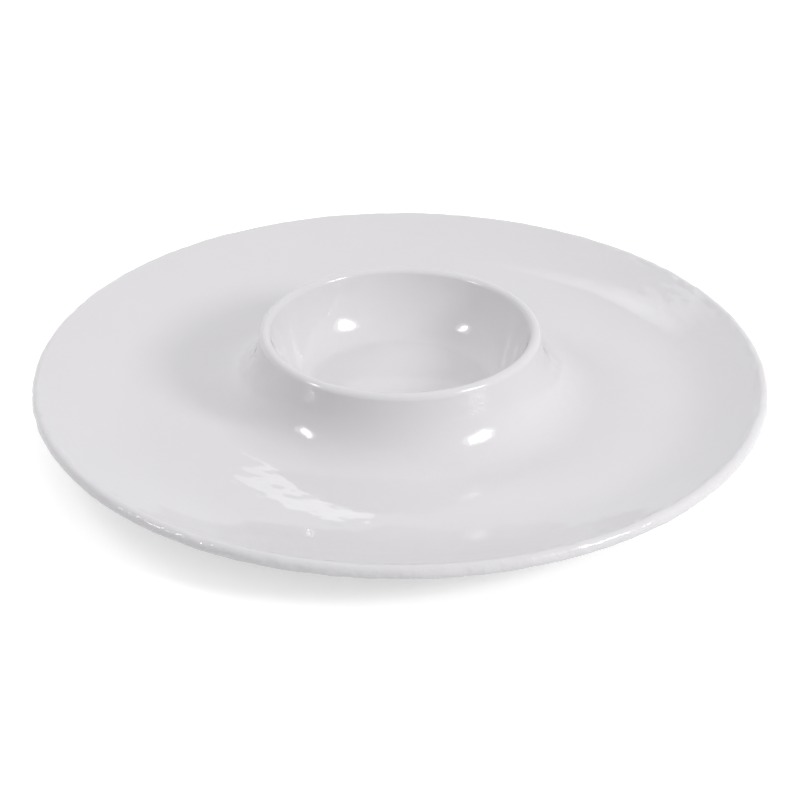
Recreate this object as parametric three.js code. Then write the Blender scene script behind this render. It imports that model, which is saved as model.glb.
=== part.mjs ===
// Chip and dip platter in glazed stoneware: a round dish whose floor sweeps up into a central dip bowl.
// Three pieces of clay luted together: the platter with its collar, the bowl dropped into the collar,
// and the foot ring under the well. Every piece is a profile revolved about Z. Millimetres, +Z up,
// origin in the middle of the base, on the table.

import * as THREE from 'three';

// Driving dimensions of the platter
const platterDiameter = 340;
const rimHeight = 24;
const rimSlope = THREE.MathUtils.degToRad(22);
const wallThickness = 5.6;

// Driving dimensions of the bowl and of the sweep from its wall to the well
const bowlDiameter = 131;
const bowlHeight = 41.5;
const bowlFloorDiameter = 80;
const sweepRun = 28;

// Driving dimensions of the joint: a seat below the bowl's lip and a spigot below the seat
const seatDrop = 18;
const spigotDepth = 3;
const slipGap = 0.3;

// Driving dimensions of the foot ring and of the raised land that it is luted to
const footDiameter = 190;
const footWidth = 8;
const footHeight = 4.5;
const footRound = 1.4;
const landRise = 0.8;
const landMargin = 1.5;

// How long each curve keeps to its first and its last direction, as shares of its run or its drop
const sweepLean = 0.04;
const sweepUpright = 0.65;
const sweepLevel = 0.68;
const dishLevel = 0.55;
const dishStraight = 0.45;
const cupLevel = 0.62;
const cupLean = 0.1;
const cupUpright = 0.4;

// Facets round the axis and along each curve
const turns = 64;
const sweepSteps = 8;
const dishSteps = 9;
const cupSteps = 10;
const wallSteps = 4;
const lipSteps = 8;
const edgeSteps = 3;

// Heights and radii that follow from the driving dimensions
const platterRadius = platterDiameter / 2;
const bowlRadius = bowlDiameter / 2;
const bowlFloorRadius = bowlFloorDiameter / 2;
const wellFloor = footHeight + landRise + wallThickness;
const wellRadius = bowlRadius + sweepRun;
const seatHeight = bowlHeight - seatDrop;
const spigotFoot = seatHeight - spigotDepth;
const footInner = (footDiameter - footWidth) / 2;
const footOuter = (footDiameter + footWidth) / 2;
const landInner = footInner - landMargin;
const landOuter = footOuter + landMargin;

const point = (r, z) => new THREE.Vector2(r, z);

// Both lips are full rounds, as wide as the wall
const lipRadius = wallThickness / 2;
const bowlLipCentre = point(bowlRadius - lipRadius, bowlHeight - lipRadius);
const lipCentre = point(platterRadius - lipRadius, rimHeight - lipRadius);

// Outer face of the bowl: steep under its lip, then one long sweep out to the floor of the well
const sweepDrop = bowlLipCentre.y - wellFloor;
const sweep = new THREE.CubicBezierCurve(
  point(bowlRadius, bowlLipCentre.y),
  point(bowlRadius + sweepRun * sweepLean, bowlLipCentre.y - sweepDrop * sweepUpright),
  point(wellRadius - sweepRun * sweepLevel, wellFloor),
  point(wellRadius, wellFloor),
);

// Inside of the dish: level at the well, rising to the slope at which the lip's round takes over
const lipStart = Math.PI / 2 + rimSlope;
const dishEnd = point(
  lipCentre.x + lipRadius * Math.cos(lipStart),
  lipCentre.y + lipRadius * Math.sin(lipStart),
);
const dishRun = dishEnd.x - wellRadius;
const dish = new THREE.CubicBezierCurve(
  point(wellRadius, wellFloor),
  point(wellRadius + dishRun * dishLevel, wellFloor),
  point(dishEnd.x - dishRun * dishStraight, dishEnd.y - dishRun * dishStraight * Math.tan(rimSlope)),
  dishEnd,
);

// Inside of the bowl: a level floor easing up into a wall that is steep below the lip
const rimInner = point(bowlRadius - wallThickness, bowlLipCentre.y);
const cupRun = rimInner.x - bowlFloorRadius;
const cupRise = rimInner.y - wellFloor;
const cup = new THREE.CubicBezierCurve(
  point(bowlFloorRadius, wellFloor),
  point(bowlFloorRadius + cupRun * cupLevel, wellFloor),
  point(rimInner.x - cupRun * cupLean, rimInner.y - cupRise * cupUpright),
  rimInner,
);

// A point on the face of a wall, and the point behind it on the wall's back, square through the
// thickness. The three curves run outwards, so the back is on their right-hand side.
const face = (curve, t) => curve.getPoint(t);
const back = (curve, t) => {
  const along = curve.getTangent(t);
  return face(curve, t).add(point(along.y, -along.x).multiplyScalar(wallThickness));
};

// Points on the face or the back of a curve, from parameter t0 to t1
function sample(side, curve, steps, t0, t1) {
  const points = [];
  for (let i = 0; i <= steps; i += 1) {
    points.push(side(curve, THREE.MathUtils.lerp(t0, t1, i / steps)));
  }
  return points;
}

// Points along a circular arc, angles in radians from the outward direction
function arc(centre, radius, from, to, steps) {
  const points = [];
  for (let i = 0; i <= steps; i += 1) {
    const angle = THREE.MathUtils.lerp(from, to, i / steps);
    points.push(point(centre.x + radius * Math.cos(angle), centre.y + radius * Math.sin(angle)));
  }
  return points;
}

// Curve parameter at which a test turns true, found by halving
function parameterWhere(test) {
  let low = 0;
  let high = 1;
  for (let i = 0; i < 50; i += 1) {
    const middle = (low + high) / 2;
    if (test(middle)) high = middle;
    else low = middle;
  }
  return high;
}

// Where the curves are cut: at the seat, at both edges of the land and at the foot of the spigot
const atSeat = parameterWhere((t) => face(sweep, t).y < seatHeight);
const atLandInner = parameterWhere((t) => back(sweep, t).x > landInner);
const atLandOuter = parameterWhere((t) => back(dish, t).x > landOuter);
const atSpigot = parameterWhere((t) => back(cup, t).y > spigotFoot);
const boreRadius = back(sweep, atSeat).x;
const spigotRadius = boreRadius - slipGap;

// Platter: down the collar's bore, out under the well and the dish, round the lip, in and up to the seat
const platterProfile = [
  point(boreRadius, seatHeight),
  ...sample(back, sweep, sweepSteps, atSeat, atLandInner),
  point(landInner, footHeight),
  point(landOuter, footHeight),
  ...sample(back, dish, dishSteps, atLandOuter, 1),
  ...arc(lipCentre, lipRadius, lipStart - Math.PI, lipStart, lipSteps).slice(1, -1),
  ...sample(face, dish, dishSteps, 1, 0),
  ...sample(face, sweep, sweepSteps, 1, atSeat).slice(1),
  point(boreRadius, seatHeight),
];

// Bowl: under the floor, up the back of the cup, out on the spigot and the shoulder, over the lip and in
const bowlProfile = [
  point(0, wellFloor - wallThickness),
  ...sample(back, cup, cupSteps, 0, atSpigot),
  point(spigotRadius, spigotFoot),
  point(spigotRadius, seatHeight),
  ...sample(face, sweep, wallSteps, atSeat, 0),
  ...arc(bowlLipCentre, lipRadius, 0, Math.PI, lipSteps).slice(1, -1),
  ...sample(face, cup, cupSteps, 1, 0),
  point(0, wellFloor),
];

// Foot ring: square against the land, with both lower edges rounded
const footProfile = [
  point(footInner, footHeight),
  ...arc(point(footInner + footRound, footRound), footRound, Math.PI, Math.PI * 1.5, edgeSteps),
  ...arc(point(footOuter - footRound, footRound), footRound, Math.PI * 1.5, Math.PI * 2, edgeSteps),
  point(footOuter, footHeight),
  point(footInner, footHeight),
];

// Finishes: white gloss glaze, and the bare fired clay of the foot
const whiteGlaze = { color: 0xe3e2e4, roughness: 0.12, metalness: 0 };
const bareStoneware = { color: 0xcfc8bd, roughness: 0.85, metalness: 0 };

function revolved(name, profile, finish) {
  const geometry = new THREE.LatheGeometry(profile, turns);
  geometry.rotateX(Math.PI / 2);
  const mesh = new THREE.Mesh(geometry, new THREE.MeshStandardMaterial(finish));
  mesh.name = name;
  return mesh;
}

const group = new THREE.Group();
group.name = 'chip_and_dip_platter';
group.add(revolved('platter', platterProfile, whiteGlaze));
group.add(revolved('dip_bowl', bowlProfile, whiteGlaze));
group.add(revolved('foot_ring', footProfile, bareStoneware));

export default group;
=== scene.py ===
"""Chip and dip platter in white gloss-glazed stoneware, dressed around its CAD model.

Every piece is a section revolved about Z. One glazed skin is worked out over the bowl and the platter
together, with the ripples that hand tooling left in the clay, and then shared between the two pieces,
so that the glaze runs over their joint without a break. Sizes of the platter are millimetres until a
mesh is made, and the studio around it is in metres.
"""

import math

import bpy
import numpy as np
from mathutils import Matrix, Vector


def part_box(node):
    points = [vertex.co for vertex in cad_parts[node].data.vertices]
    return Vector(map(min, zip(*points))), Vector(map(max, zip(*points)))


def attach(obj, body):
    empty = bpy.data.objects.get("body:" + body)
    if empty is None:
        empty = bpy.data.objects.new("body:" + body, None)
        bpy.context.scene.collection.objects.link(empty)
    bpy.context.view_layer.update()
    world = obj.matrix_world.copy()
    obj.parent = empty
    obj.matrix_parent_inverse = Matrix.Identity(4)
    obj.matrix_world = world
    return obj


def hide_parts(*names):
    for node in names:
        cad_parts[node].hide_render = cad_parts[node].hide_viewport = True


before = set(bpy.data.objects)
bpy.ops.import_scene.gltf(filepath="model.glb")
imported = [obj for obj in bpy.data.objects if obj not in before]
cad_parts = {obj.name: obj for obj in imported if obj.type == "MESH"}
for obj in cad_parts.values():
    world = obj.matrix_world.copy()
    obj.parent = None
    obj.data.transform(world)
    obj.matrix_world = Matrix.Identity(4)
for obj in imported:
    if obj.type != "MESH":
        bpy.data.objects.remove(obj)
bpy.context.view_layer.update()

MM = 0.001

# Sizes that the CAD pieces give
platter_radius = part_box("platter")[1].x / MM
rim_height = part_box("platter")[1].z / MM
land_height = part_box("platter")[0].z / MM
bowl_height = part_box("dip_bowl")[1].z / MM
bowl_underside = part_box("dip_bowl")[0].z / MM
foot_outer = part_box("foot_ring")[1].x / MM
foot_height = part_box("foot_ring")[1].z / MM

# Driving sizes of the section, as in the CAD model
wall = 5.6
rim_slope = math.radians(22)
bowl_radius = 65.5
bowl_floor_radius = 40.0
sweep_run = 28.0
seat_drop = 18.0
spigot_depth = 3.0
slip_gap = 0.3
foot_width = 8.0
foot_round = 1.4
land_margin = 1.5

# How long each curve keeps to its first and its last direction, as shares of its run or its drop
sweep_lean = 0.04
sweep_upright = 0.65
sweep_level = 0.68
dish_level = 0.55
dish_straight = 0.45
cup_level = 0.62
cup_upright = 0.4

# Slope of the cup's wall out of plumb below its lip, where the thrown clay thickens
cup_batter = math.radians(14)

# Levels and radii that follow
well_floor = bowl_underside + wall
well_radius = bowl_radius + sweep_run
seat_height = bowl_height - seat_drop
spigot_foot = seat_height - spigot_depth
foot_inner = foot_outer - foot_width
land_inner = foot_inner - land_margin
land_outer = foot_outer + land_margin

# Columns of the mesh round the axis, and rows along each run of the section
turns = 432
floor_rows = 24
cup_rows = 44
bowl_lip_rows = 24
upper_wall_rows = 22
collar_rows = 34
dish_rows = 96
lip_rows = 26
under_dish_rows = 34
under_collar_rows = 20
under_bowl_rows = 60
seat_rows = 4
spigot_rows = 3
land_rows = 3
step_rows = 2
foot_top_rows = 8
foot_side_rows = 5
foot_round_rows = 6
foot_base_rows = 6

# Steps in which the curves are worked out, and the small hole round the axis that a fan closes
curve_steps = 400
axis_gap = 0.8

# The two coordinates of a section's points
RADIUS = 0
HEIGHT = 1


def bezier(points, steps):
    """Points on a cubic Bezier curve: its four control points weighted by the cubic Bernstein terms."""
    t = np.linspace(0, 1, steps + 1)[:, None]
    a, b, c, d = np.array(points, float)
    return (1 - t) ** 3 * a + 3 * (1 - t) ** 2 * t * b + 3 * (1 - t) * t**2 * c + t**3 * d


def arc(centre, radius, start, end, steps):
    """Points on a circular arc in the section, angles in degrees from the outward direction."""
    angle = np.radians(np.linspace(start, end, steps + 1))
    return np.array(centre) + radius * np.stack([np.cos(angle), np.sin(angle)], 1)


def straight(start, end, steps):
    """Evenly spaced points on a straight line of the section."""
    t = np.linspace(0, 1, steps + 1)[:, None]
    return (1 - t) * np.array(start, float) + t * np.array(end, float)


def back_of(curve):
    """The back of a wall: every point moved square through the wall, to the right of its direction."""
    along = np.gradient(curve, axis=0)
    along /= np.linalg.norm(along, axis=1, keepdims=True)
    return curve + wall * np.stack([along[:, HEIGHT], -along[:, RADIUS]], 1)


def lengths(section):
    """Distance along a section from its first point to each point."""
    steps = np.linalg.norm(np.diff(section, axis=0), axis=1)
    return np.concatenate([[0], np.cumsum(steps)])


def spaced(section, steps, start=0.0, end=1.0):
    """A section laid out again with equal steps, between two shares of its length."""
    run = lengths(section)
    at = np.linspace(start, end, steps + 1) * run[-1]
    return np.stack([np.interp(at, run, section[:, axis]) for axis in (RADIUS, HEIGHT)], 1)


def point_at(section, share):
    """The point at a share of a section's length."""
    return spaced(section, 1, share, share)[0]


def share_where(section, axis, level):
    """Share of a section's length at which one of its coordinates passes a level."""
    run = lengths(section) / lengths(section)[-1]
    order = np.argsort(section[:, axis])
    return np.interp(level, section[order, axis], run[order])


def joined(*runs):
    """Runs of a section end to end, without the points that they share."""
    return np.concatenate([runs[0], *[run[1:] for run in runs[1:]]])


# Sweep from the bowl's lip to the well: steep under the lip, level where it reaches the floor
lip_radius = wall / 2
lip_foot = bowl_height - lip_radius
sweep_drop = lip_foot - well_floor
sweep = bezier(
    [
        (bowl_radius, lip_foot),
        (bowl_radius + sweep_lean * sweep_run, lip_foot - sweep_upright * sweep_drop),
        (well_radius - sweep_level * sweep_run, well_floor),
        (well_radius, well_floor),
    ],
    curve_steps,
)

# Dish: level at the well, rising to the slope at which the lip's round takes over
lip_centre = (platter_radius - lip_radius, rim_height - lip_radius)
lip_start = 90 + math.degrees(rim_slope)
dish_end = arc(lip_centre, lip_radius, lip_start, lip_start, 0)[0]
dish_run = dish_end[RADIUS] - well_radius
dish = bezier(
    [
        (well_radius, well_floor),
        (well_radius + dish_level * dish_run, well_floor),
        dish_end - dish_straight * dish_run * np.array([1, math.tan(rim_slope)]),
        dish_end,
    ],
    curve_steps,
)

# Cup: a level floor easing up into a wall that leans out a little below the lip
bowl_lip_centre = (bowl_radius - lip_radius, lip_foot)
cup_lip = 180 - math.degrees(cup_batter)
cup_rim = arc(bowl_lip_centre, lip_radius, cup_lip, cup_lip, 0)[0]
cup_run = cup_rim[RADIUS] - bowl_floor_radius
cup_rise = cup_rim[HEIGHT] - well_floor
cup = bezier(
    [
        (bowl_floor_radius, well_floor),
        (bowl_floor_radius + cup_level * cup_run, well_floor),
        cup_rim - cup_upright * cup_rise * np.array([math.sin(cup_batter), math.cos(cup_batter)]),
        cup_rim,
    ],
    curve_steps,
)

# The joint: where the seat cuts the sweep, the collar's bore behind it, and the bowl's spigot in the bore
seat_share = share_where(sweep, HEIGHT, seat_height)
seat_outer = point_at(sweep, seat_share)
bore_radius = point_at(back_of(sweep), seat_share)[RADIUS]
spigot_radius = bore_radius - slip_gap

# The glazed skin's section: from the middle of the bowl out over its lip, down the sweep, across the
# dish, round the platter's lip and back under the dish to the foot ring's land
bowl_skin = joined(
    straight((axis_gap, well_floor), (bowl_floor_radius, well_floor), floor_rows),
    spaced(cup, cup_rows),
    arc(bowl_lip_centre, lip_radius, cup_lip, 0, bowl_lip_rows),
    spaced(sweep, upper_wall_rows, 0, seat_share),
)
dish_back = back_of(dish)
platter_skin = joined(
    spaced(sweep, collar_rows, seat_share, 1),
    spaced(dish, dish_rows),
    arc(lip_centre, lip_radius, lip_start, lip_start - 180, lip_rows),
    spaced(dish_back, under_dish_rows, 1, share_where(dish_back, RADIUS, land_outer)),
)
skin = joined(bowl_skin, platter_skin)
seam_row = len(bowl_skin) - 1

# The unevenness of hand work: broad strokes and fine ones, each with the distance between its rings,
# its length round the axis and its height
tooling_seed = 11
stroke_pitch = 4.6
stroke_length = 13.0
stroke_height = 0.034
fine_pitch = 2.3
fine_length = 7.0
fine_height = 0.014

# Nicks along the platter's lip, where it was trimmed and wiped by hand
nick_pitch = 2.4
nick_length = 6.0
nick_height = 0.08

# Rings lie off their places by up to a share of the pitch, a ring's weight falls off over another share
# of it, and the shortest wave round the axis takes a few columns of the mesh
ring_scatter = 0.25
ring_width = 0.55
shortest_wave = 3

# Shares of the strokes: strong low on the sweep and on the platter's lip, where the clay was pulled, and
# quiet on the cup, on the turned floor and dish, and underneath
cup_share = 0.4
sweep_share = 1.0
floor_share = 0.45
rim_share = 2.2
under_share = 0.5

# Where the shares change: from the bowl's wall out to the foot of the sweep, and beside either lip
sweep_foot = 16.0
lip_reach = 7.0

# The ripples start at one radius in the cup and are full at another, and die out in the last rows
still_radius = 2.0
full_radius = 12.0
still_rows = 6


def eased(value, low, high):
    """0 below low, 1 above high and an S-curve between, for arrays."""
    t = np.clip((value - low) / (high - low), 0, 1)
    return t * t * (3 - 2 * t)


def tooling(section, pitch, stroke, seed):
    """Hand-tooled ripples on a grid of section points by columns, about one in height.

    Rings lie a pitch apart along the section. Each ring's height goes round the axis as a sum of
    cosines with random phases, fading out for waves shorter than the stroke, and each grid point
    takes the rings near it by a bell-shaped weight.
    """
    draw = np.random.default_rng(seed)
    run = lengths(section)
    ring = np.arange(0, run[-1], pitch)
    ring = ring + draw.uniform(-ring_scatter, ring_scatter, len(ring)) * pitch
    radius = np.interp(ring, run, section[:, RADIUS])
    wave = np.arange(1, turns // shortest_wave)
    phase = draw.uniform(0, 2 * np.pi, (len(ring), len(wave)))
    strength = np.exp(-((wave * stroke / (2 * np.pi * np.maximum(radius, stroke)[:, None])) ** 2))
    strength /= np.sqrt((strength**2).sum(1, keepdims=True) / 2)
    angle = np.linspace(0, 2 * np.pi, turns, endpoint=False)
    turn = wave[:, None] * angle
    height = (strength * np.cos(phase)) @ np.cos(turn) - (strength * np.sin(phase)) @ np.sin(turn)
    weight = np.exp(-(((run[:, None] - ring) / (ring_width * pitch)) ** 2))
    return weight @ height


def revolved(section):
    """Grid of points made by turning a section about Z: rows along the section, columns round the axis."""
    angle = np.linspace(0, 2 * np.pi, turns, endpoint=False)
    radius = section[:, RADIUS][:, None]
    level = np.repeat(section[:, HEIGHT][:, None], turns, 1)
    return np.stack([radius * np.cos(angle), radius * np.sin(angle), level], -1)


def facing(grid):
    """Unit normals of a grid: the cross product of its slopes along the rows and round the columns."""
    around = np.roll(grid, -1, 1) - np.roll(grid, 1, 1)
    along = np.gradient(grid, axis=0)
    normal = np.cross(along, around)
    return normal / np.linalg.norm(normal, axis=-1, keepdims=True)


def hand_made(section):
    """The skin's grid with its tooling: every point moved along its normal by the ripples' height.

    The height is the strokes times a share that goes with the radius, plus the nicks at the platter's
    lip. On the upper side the share goes from the cup's to the sweep's and on to the floor's, and the
    underside has its own.
    """
    grid = revolved(section)
    radius = section[:, RADIUS]
    row = np.arange(len(section))
    lip_row = int(np.argmax(radius))
    on_sweep = eased(radius, bowl_radius + lip_radius, bowl_radius + lip_reach)
    off_sweep = eased(radius, bowl_radius + sweep_foot, well_radius)
    at_lip = eased(radius, platter_radius - lip_reach, platter_radius - lip_radius)
    above = cup_share + (sweep_share - cup_share) * on_sweep + (floor_share - sweep_share) * off_sweep
    share = np.where(row < lip_row, above, under_share)
    share += (rim_share - share) * at_lip
    strokes = stroke_height * tooling(section, stroke_pitch, stroke_length, tooling_seed)
    strokes += fine_height * tooling(section, fine_pitch, fine_length, tooling_seed + 1)
    nicks = nick_height * tooling(section, nick_pitch, nick_length, tooling_seed + 2)
    ends = eased(radius, still_radius, full_radius) * eased(len(section) - 1 - row, 0, still_rows)
    height = ends[:, None] * (share[:, None] * strokes + at_lip[:, None] * nicks)
    return grid + height[:, :, None] * facing(grid)


skin_grid = hand_made(skin)
skin_normals = facing(skin_grid)


def quads(rows, closed_loop):
    """Corner numbers of the quads between neighbouring rows of a grid whose columns close round the axis."""
    upper = np.arange(rows if closed_loop else rows - 1)[:, None]
    lower = (upper + 1) % rows
    column = np.arange(turns)
    beside = (column + 1) % turns
    corners = [
        upper * turns + column,
        lower * turns + column,
        lower * turns + beside,
        upper * turns + beside,
    ]
    return np.stack(np.broadcast_arrays(*corners), -1).reshape(-1, 4)


def piece(name, runs, poles=(), closed_loop=False):
    """A closed mesh from runs of the section, given as (grid, normals) with the rows that runs share.

    Each quad's corners take the normals of its own run, so that an edge between two runs is crisp and
    a run is smooth. A pole closes the first or the last row with a fan of triangles to one point. In a
    closed loop the last run ends on the first run's first row.
    """
    grid = np.concatenate([runs[0][0], *[points[1:] for points, _ in runs[1:]]])
    if closed_loop:
        grid = grid[:-1]
    points = grid.reshape(-1, 3)
    polygons = quads(len(grid), closed_loop).tolist()
    corner_normals = []
    for _, normal in runs:
        beside = np.roll(normal, -1, 1)
        corners = [normal[:-1], normal[1:], beside[1:], beside[:-1]]
        corner_normals.append(np.stack(corners, 2).reshape(-1, 3))
    for row, tip, direction in poles:
        column = np.arange(turns)
        ring = row % len(grid) * turns + column
        beside = row % len(grid) * turns + (column + 1) % turns
        middle = np.full(turns, len(points))
        points = np.concatenate([points, [tip]])
        fan = [middle, ring, beside] if row == 0 else [middle, beside, ring]
        polygons += np.stack(fan, 1).tolist()
        corner_normals.append(np.tile(direction, (turns * 3, 1)))
    mesh = bpy.data.meshes.new(name)
    mesh.from_pydata((points * MM).tolist(), [], polygons)
    mesh.shade_smooth()
    mesh.normals_split_custom_set(np.concatenate(corner_normals).tolist())
    thing = bpy.data.objects.new(name, mesh)
    bpy.context.scene.collection.objects.link(thing)
    return thing


def run_of(section):
    """Grid and normals of a plain run of a section."""
    grid = revolved(section)
    return grid, facing(grid)


def meeting(start_row, section, end_row=None):
    """A plain run whose first row, and last row if given, are rows of grids that it meets."""
    grid = revolved(section)
    grid[0] = start_row
    if end_row is not None:
        grid[-1] = end_row
    return grid, facing(grid)


def make_dip_bowl():
    """The cup with its lip, the upper wall, the shoulder, the spigot and the underside."""
    inside = joined(straight((axis_gap, well_floor), cup[0], floor_rows), spaced(cup, cup_rows))
    cup_back = back_of(inside)
    under = spaced(cup_back, under_bowl_rows, share_where(cup_back, HEIGHT, spigot_foot), 0)
    top = skin_grid[: seam_row + 1], skin_normals[: seam_row + 1]
    shoulder = meeting(top[0][-1], straight(seat_outer, (spigot_radius, seat_height), seat_rows))
    spigot = run_of(straight((spigot_radius, seat_height), (spigot_radius, spigot_foot), spigot_rows))
    ledge = run_of(straight((spigot_radius, spigot_foot), under[0], step_rows))
    floor_pole = (0, (0, 0, well_floor), (0, 0, 1))
    under_pole = (-1, (0, 0, bowl_underside), (0, 0, -1))
    runs = [top, shoulder, spigot, ledge, run_of(under)]
    return piece("dip_bowl_glazed", runs, poles=(floor_pole, under_pole))


def make_platter():
    """The collar with its seat, the well, the dish, the lip, and the underside with the land for the foot."""
    skin_part = skin_grid[seam_row:], skin_normals[seam_row:]
    collar_back = back_of(sweep)
    collar_foot = share_where(collar_back, RADIUS, land_inner)
    inner = spaced(collar_back, under_collar_rows, collar_foot, seat_share)
    riser = run_of(straight(skin[-1], (land_outer, land_height), step_rows))
    land = run_of(straight((land_outer, land_height), (land_inner, land_height), land_rows))
    inner_riser = run_of(straight((land_inner, land_height), inner[0], step_rows))
    bore_top = (bore_radius, seat_height)
    bore = run_of(straight(inner[-1], bore_top, step_rows))
    seat = meeting(bore[0][-1], straight(bore_top, seat_outer, seat_rows), skin_grid[seam_row])
    runs = [skin_part, riser, land, inner_riser, run_of(inner), bore, seat]
    return piece("platter_glazed", runs, closed_loop=True)


def make_foot_ring():
    """The foot ring: flat against the land, with both lower edges rounded by a sponge."""
    outer_edge = foot_outer - foot_round
    inner_edge = foot_inner + foot_round
    top = straight((foot_inner, foot_height), (foot_outer, foot_height), foot_top_rows)
    sides = joined(
        straight((foot_outer, foot_height), (foot_outer, foot_round), foot_side_rows),
        arc((outer_edge, foot_round), foot_round, 0, -90, foot_round_rows),
        straight((outer_edge, 0), (inner_edge, 0), foot_base_rows),
        arc((inner_edge, foot_round), foot_round, -90, -180, foot_round_rows),
        straight((foot_inner, foot_round), (foot_inner, foot_height), foot_side_rows),
    )
    return piece("foot_ring_bare", [run_of(top), run_of(sides)], closed_loop=True)


def linear(hex_colour):
    """Linear RGBA of an sRGB colour written as six hex digits."""
    channels = [int(hex_colour[i : i + 2], 16) / 255 for i in (0, 2, 4)]
    return [c / 12.92 if c <= 0.04045 else ((c + 0.055) / 1.055) ** 2.4 for c in channels] + [1.0]


def add(tree, kind, links=None, **settings):
    """Adds a node with its properties; links gives its inputs, each a socket to take from or a constant."""
    node = tree.nodes.new(kind)
    for key, value in settings.items():
        setattr(node, key, value)
    for key, value in (links or {}).items():
        socket = node.inputs[key]
        if isinstance(value, bpy.types.NodeSocket):
            tree.links.new(value, socket)
        else:
            socket.default_value = value
    return node


def new_material(name):
    """An empty node material and its node tree."""
    material = bpy.data.materials.new(name)
    material.use_nodes = True
    material.node_tree.nodes.clear()
    return material, material.node_tree


def white_gloss_glaze():
    """White gloss glaze fired on stoneware, dipped and run smooth over tooled clay.

    The eye gets a cool white with faint clouds where the glaze lies thicker or thinner, sharp lamp
    reflections, and an orange peel that breaks up their edges. The peel is slight where the glaze
    settled level, fuller where it ran on steep walls, and strong where it drew thin over the platter's
    lip. Sizes are in millimetres, and the two cosines are the upward part of the surface's normal.
    """
    material, tree = new_material("white_gloss_glaze_on_stoneware")
    cloud_size = 38.0
    peel_size = 3.2
    peel_height = 0.018
    level_cosine = 0.97
    steep_cosine = 0.80
    level_peel = 0.15
    lip_peel = 24.0
    lip_peel_start = platter_radius - 5.0
    lip_peel_full = platter_radius - 1.5
    thin_white = linear("e2e0e3")
    thick_white = linear("e6e4e7")
    thin_roughness = 0.02
    thick_roughness = 0.04
    place = add(tree, "ShaderNodeTexCoord").outputs["Object"]
    clouds = add(tree, "ShaderNodeTexNoise", {
        "Vector": place,
        "Scale": 1 / (cloud_size * MM),
        "Detail": 3.0,
    }).outputs["Fac"]
    tint = add(tree, "ShaderNodeMix", {
        "Factor": clouds,
        "A": thin_white,
        "B": thick_white,
    }, data_type="RGBA")
    gloss = add(tree, "ShaderNodeMapRange", {
        "Value": clouds,
        "To Min": thin_roughness,
        "To Max": thick_roughness,
    })
    peel = add(tree, "ShaderNodeTexNoise", {
        "Vector": place,
        "Scale": 1 / (peel_size * MM),
        "Detail": 2.0,
    })
    normal = add(tree, "ShaderNodeNewGeometry").outputs["Normal"]
    steep = add(tree, "ShaderNodeMapRange", {
        "Value": add(tree, "ShaderNodeSeparateXYZ", {"Vector": normal}).outputs["Z"],
        "From Min": level_cosine,
        "From Max": steep_cosine,
        "To Min": level_peel,
        "To Max": 1.0,
    })
    on_lip = add(tree, "ShaderNodeMapRange", {
        "Value": add(tree, "ShaderNodeVectorMath", {0: place}, operation="LENGTH").outputs["Value"],
        "From Min": lip_peel_start * MM,
        "From Max": lip_peel_full * MM,
        "To Min": 1.0,
        "To Max": lip_peel,
    })
    wall_peel = add(tree, "ShaderNodeMath", {
        0: peel.outputs["Fac"],
        1: steep.outputs["Result"],
    }, operation="MULTIPLY")
    whole_peel = add(tree, "ShaderNodeMath", {
        0: wall_peel.outputs[0],
        1: on_lip.outputs["Result"],
    }, operation="MULTIPLY")
    bump = add(tree, "ShaderNodeBump", {
        "Height": whole_peel.outputs[0],
        "Strength": 1.0,
        "Distance": peel_height * MM,
    })
    glaze = add(tree, "ShaderNodeBsdfPrincipled", {
        "Base Color": tint.outputs["Result"],
        "Roughness": gloss.outputs["Result"],
        "IOR": 1.45,
        "Normal": bump.outputs["Normal"],
    })
    add(tree, "ShaderNodeOutputMaterial", {"Surface": glaze.outputs["BSDF"]})
    return material


def bare_stoneware():
    """Stoneware left bare under the foot and wiped with a sponge before firing.

    The eye gets a dull warm grey with fine grog specks and a grain that catches light from the side.
    Sizes are in millimetres. A speck is dark inside its core and fades out to its edge, both as shares
    of the specks' spacing.
    """
    material, tree = new_material("bare_stoneware_sponged")
    grain_size = 0.8
    grain_height = 0.08
    speck_spacing = 1.6
    speck_core = 0.08
    speck_edge = 0.22
    dark_clay = linear("c9c1b4")
    pale_clay = linear("d6cfc4")
    grog = linear("a69a88")
    place = add(tree, "ShaderNodeTexCoord").outputs["Object"]
    grain = add(tree, "ShaderNodeTexNoise", {
        "Vector": place,
        "Scale": 1 / (grain_size * MM),
        "Detail": 4.0,
    }).outputs["Fac"]
    specks = add(tree, "ShaderNodeTexVoronoi", {"Vector": place, "Scale": 1 / (speck_spacing * MM)})
    between = add(tree, "ShaderNodeMapRange", {
        "Value": specks.outputs["Distance"],
        "From Min": speck_core,
        "From Max": speck_edge,
    })
    tint = add(tree, "ShaderNodeMix", {
        "Factor": grain,
        "A": dark_clay,
        "B": pale_clay,
    }, data_type="RGBA")
    speckled = add(tree, "ShaderNodeMix", {
        "Factor": between.outputs["Result"],
        "A": grog,
        "B": tint.outputs["Result"],
    }, data_type="RGBA")
    bump = add(tree, "ShaderNodeBump", {
        "Height": grain,
        "Strength": 1.0,
        "Distance": grain_height * MM,
    })
    clay = add(tree, "ShaderNodeBsdfPrincipled", {
        "Base Color": speckled.outputs["Result"],
        "Roughness": 0.85,
        "Normal": bump.outputs["Normal"],
    })
    add(tree, "ShaderNodeOutputMaterial", {"Surface": clay.outputs["BSDF"]})
    return material


glaze = white_gloss_glaze()
stoneware = bare_stoneware()
for thing, node, finish, slot in (
    (make_platter(), "platter", glaze, "white_glaze"),
    (make_dip_bowl(), "dip_bowl", glaze, "white_glaze"),
    (make_foot_ring(), "foot_ring", stoneware, "bare_stoneware"),
):
    thing.data.materials.append(finish)
    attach(thing, "root")
    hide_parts(node)

# The middle of the rim's plane, from which the lamps and the camera are placed
platter_middle = Vector((0, 0, rim_height * MM))


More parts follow.
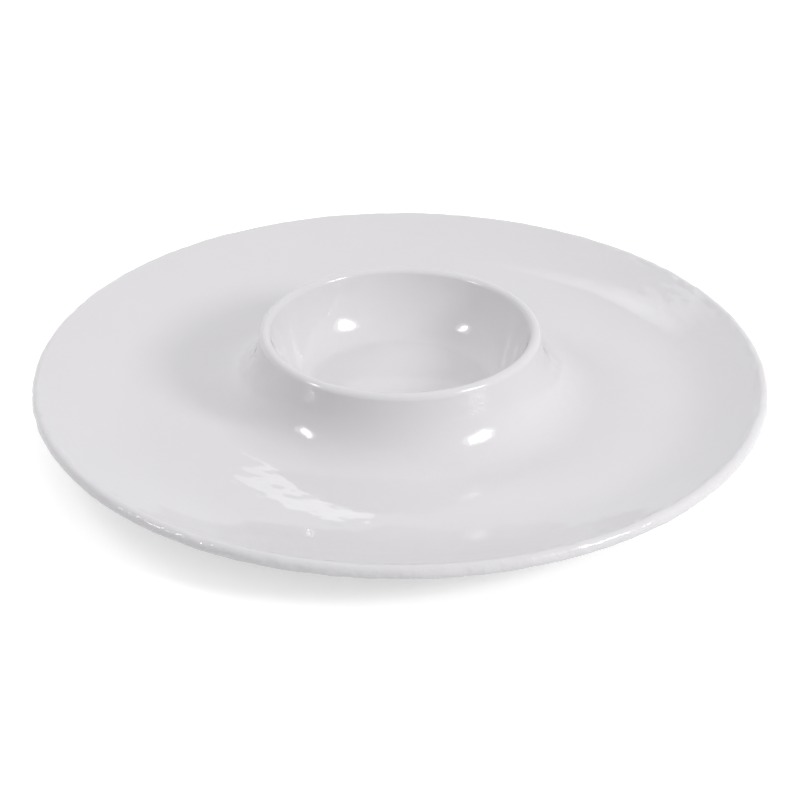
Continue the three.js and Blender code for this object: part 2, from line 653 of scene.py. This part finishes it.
def seen_directly(tree):
    """1 for rays from the camera, from a mirror or through glass, and 0 for rays that only light things."""
    path = add(tree, "ShaderNodeLightPath").outputs
    mirror = add(tree, "ShaderNodeMath", {
        0: path["Is Camera Ray"],
        1: path["Is Glossy Ray"],
    }, operation="MAXIMUM")
    glass = add(tree, "ShaderNodeMath", {
        0: mirror.outputs[0],
        1: path["Is Transmission Ray"],
    }, operation="MAXIMUM")
    return glass.outputs[0]


def make_floor():
    """A plain pale floor: matt, with a glow of its own that only direct views see, under a soft shadow.

    The glow brings the lit floor up to white.
    """
    reach = 6.0
    glow_level = 0.47
    material, tree = new_material("pale_floor")
    matt = add(tree, "ShaderNodeBsdfDiffuse", {"Color": linear("ececec")})
    glow = add(tree, "ShaderNodeEmission", {"Strength": glow_level})
    dark = add(tree, "ShaderNodeEmission", {"Strength": 0.0})
    shown = add(tree, "ShaderNodeMixShader", {
        0: seen_directly(tree),
        1: dark.outputs[0],
        2: glow.outputs[0],
    })
    both = add(tree, "ShaderNodeAddShader", {0: matt.outputs[0], 1: shown.outputs[0]})
    add(tree, "ShaderNodeOutputMaterial", {"Surface": both.outputs[0]})
    corners = [(-reach, -reach, 0), (reach, -reach, 0), (reach, reach, 0), (-reach, reach, 0)]
    mesh = bpy.data.meshes.new("floor")
    mesh.from_pydata(corners, [], [(0, 1, 2, 3)])
    mesh.materials.append(material)
    floor = bpy.data.objects.new("floor", mesh)
    bpy.context.scene.collection.objects.link(floor)


def make_world():
    """A white studio lit from above: light grows from the horizon to the zenith, direct views see white."""
    horizon_light = 0.203
    zenith_light = 0.885
    world = bpy.data.worlds.new("white_studio")
    bpy.context.scene.world = world
    world.use_nodes = True
    tree = world.node_tree
    tree.nodes.clear()
    direction = add(tree, "ShaderNodeTexCoord").outputs["Generated"]
    dome = add(tree, "ShaderNodeMapRange", {
        "Value": add(tree, "ShaderNodeSeparateXYZ", {"Vector": direction}).outputs["Z"],
        "To Min": horizon_light,
        "To Max": zenith_light,
    })
    level = add(tree, "ShaderNodeMix", {
        "Factor": seen_directly(tree),
        "A": dome.outputs["Result"],
        "B": 1.0,
    })
    sky = add(tree, "ShaderNodeBackground", {"Color": (1, 1, 1, 1), "Strength": level.outputs["Result"]})
    add(tree, "ShaderNodeOutputWorld", {"Surface": sky.outputs[0]})


def add_lamp(name, shape, place, target, size, power, mirrored, spread=180):
    """A lamp facing a target. A mirrored one is only seen in the glaze, any other only lights things.

    Spread is the width of its beam in degrees, which a grid of slats in front of it narrows.
    """
    data = bpy.data.lights.new(name, "AREA")
    data.shape = shape
    data.size, data.size_y = size
    data.energy = power
    data.spread = math.radians(spread)
    lamp = bpy.data.objects.new(name, data)
    lamp.visible_glossy = mirrored
    lamp.visible_diffuse = not mirrored
    lamp.location = place
    lamp.rotation_euler = (place - target).to_track_quat("Z", "Y").to_euler()
    bpy.context.scene.collection.objects.link(lamp)


def add_round_lamp(name, azimuth, elevation, distance, size, power, mirrored):
    """A round or oval lamp facing the middle of the platter, in degrees from the camera's side and metres."""
    turn = math.radians(azimuth)
    rise = math.radians(elevation)
    away = Vector((math.sin(turn) * math.cos(rise), -math.cos(turn) * math.cos(rise), math.sin(rise)))
    add_lamp(name, "ELLIPSE", platter_middle + away * distance, platter_middle, size, power, mirrored)


def make_lamps():
    """Umbrella flashes to the right and the left of the camera, and two gridded softboxes at the back.

    The lamps that light the platter and those that the glaze mirrors are separate, so that the shading
    and the highlights each follow the photograph. A mirrored umbrella is a dim oval with its bright
    flash in front. Each softbox is mirrored in one place, which it faces.
    """
    well_front_left = Vector((-0.055, -0.100, 0.012))
    dish_back_right = Vector((0.115, 0.085, 0.015))
    grid_spread = 16
    add_round_lamp("right_umbrella", azimuth=60, elevation=28, distance=1.2,
                   size=(0.30, 0.30), power=5.5, mirrored=False)
    add_round_lamp("right_umbrella_seen", azimuth=62, elevation=34, distance=1.21,
                   size=(0.52, 0.60), power=2.3, mirrored=True)
    add_round_lamp("right_flash_seen", azimuth=62, elevation=34, distance=1.2,
                   size=(0.33, 0.44), power=4.2, mirrored=True)
    add_round_lamp("left_umbrella", azimuth=-108, elevation=34, distance=0.6,
                   size=(0.20, 0.20), power=0.45, mirrored=False)
    add_round_lamp("left_umbrella_seen", azimuth=-73, elevation=31, distance=1.21,
                   size=(0.32, 0.42), power=0.9, mirrored=True)
    add_round_lamp("left_flash_seen", azimuth=-73, elevation=31, distance=1.2,
                   size=(0.17, 0.30), power=1.5, mirrored=True)
    add_lamp("left_softbox_seen", "RECTANGLE", Vector((-0.077, 0.511, 0.395)), target=well_front_left,
             size=(0.115, 0.025), power=0.0001, mirrored=True, spread=grid_spread)
    add_lamp("right_softbox_seen", "RECTANGLE", Vector((0.020, 0.507, 0.440)), target=dish_back_right,
             size=(0.080, 0.140), power=0.00045, mirrored=True, spread=grid_spread)


def make_camera():
    """The photograph's view: from in front and above, aimed a little below the middle of the platter.

    The distance, the angles and the focal length were fitted to the outlines of the rim and the bowl.
    """
    distance = 0.85
    elevation = math.radians(28.65)
    dip = -0.0222
    focal_pixels = 1814.7
    image_width = 800
    data = bpy.data.cameras.new("camera")
    data.sensor_width = 36.0
    data.lens = focal_pixels / image_width * data.sensor_width
    camera = bpy.data.objects.new("camera", data)
    back = Vector((0, -math.cos(elevation), math.sin(elevation)))
    upright = Vector((0, math.sin(elevation), math.cos(elevation)))
    forward = (math.tan(dip) * upright - back).normalized()
    right = Vector((1, 0, 0))
    axes = Matrix((right, right.cross(forward), -forward)).transposed().to_4x4()
    camera.matrix_world = Matrix.Translation(platter_middle + back * distance) @ axes
    bpy.context.scene.collection.objects.link(camera)
    bpy.context.scene.camera = camera


make_floor()
make_world()
make_lamps()
make_camera()
bpy.context.scene.view_settings.view_transform = "Standard"
